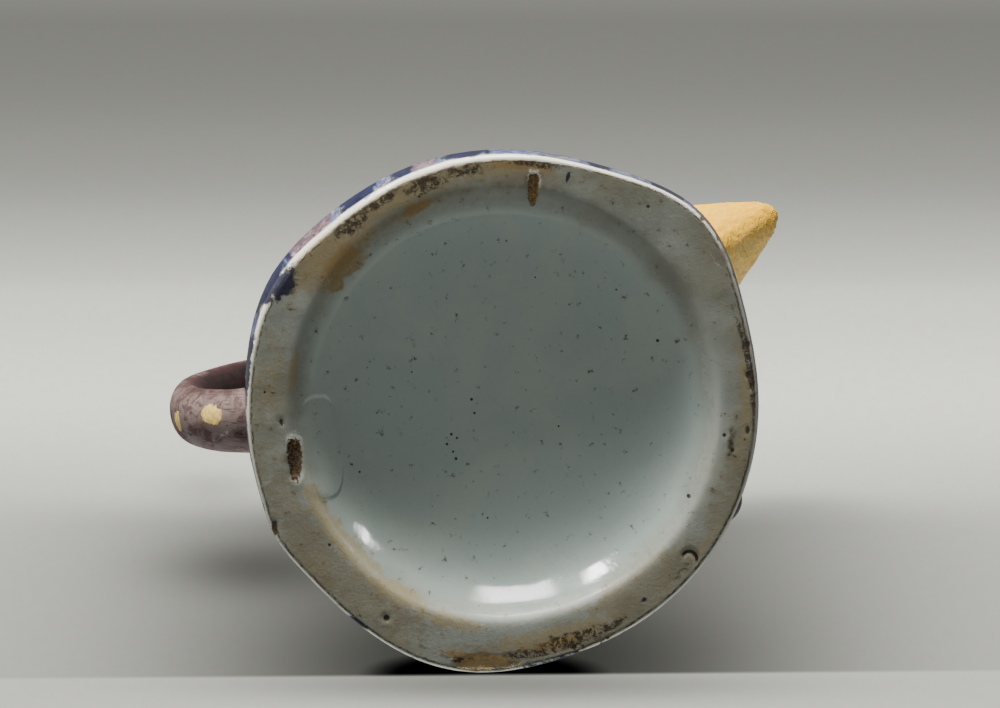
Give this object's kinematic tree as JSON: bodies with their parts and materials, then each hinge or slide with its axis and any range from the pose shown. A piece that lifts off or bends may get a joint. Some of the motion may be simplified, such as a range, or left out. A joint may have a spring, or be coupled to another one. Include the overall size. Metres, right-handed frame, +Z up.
{
  "type": "figural jug",
  "caption": "Tin-glazed earthenware jug: a seated drinker on a barrel, whose three-cornered hat is the mouth, with a strap handle at the back and a round hollowed foot",
  "frame": {"origin": "middle of the jug's box, on the plane that its foot stands on", "axes": "+Z up through the head, -Y the front of the figure, +X its left hand, +Y the handle"},
  "size_m": [0.1134, 0.164, 0.2278],
  "materials": {
    "tin_glaze": "blue-white tin glaze over buff earthenware, painted in cobalt blue, manganese purple and yellow, worn to the clay at the foot"
  },
  "bodies": {
    "root": {"jug": "tin_glaze"}
  },
  "joints": []
}
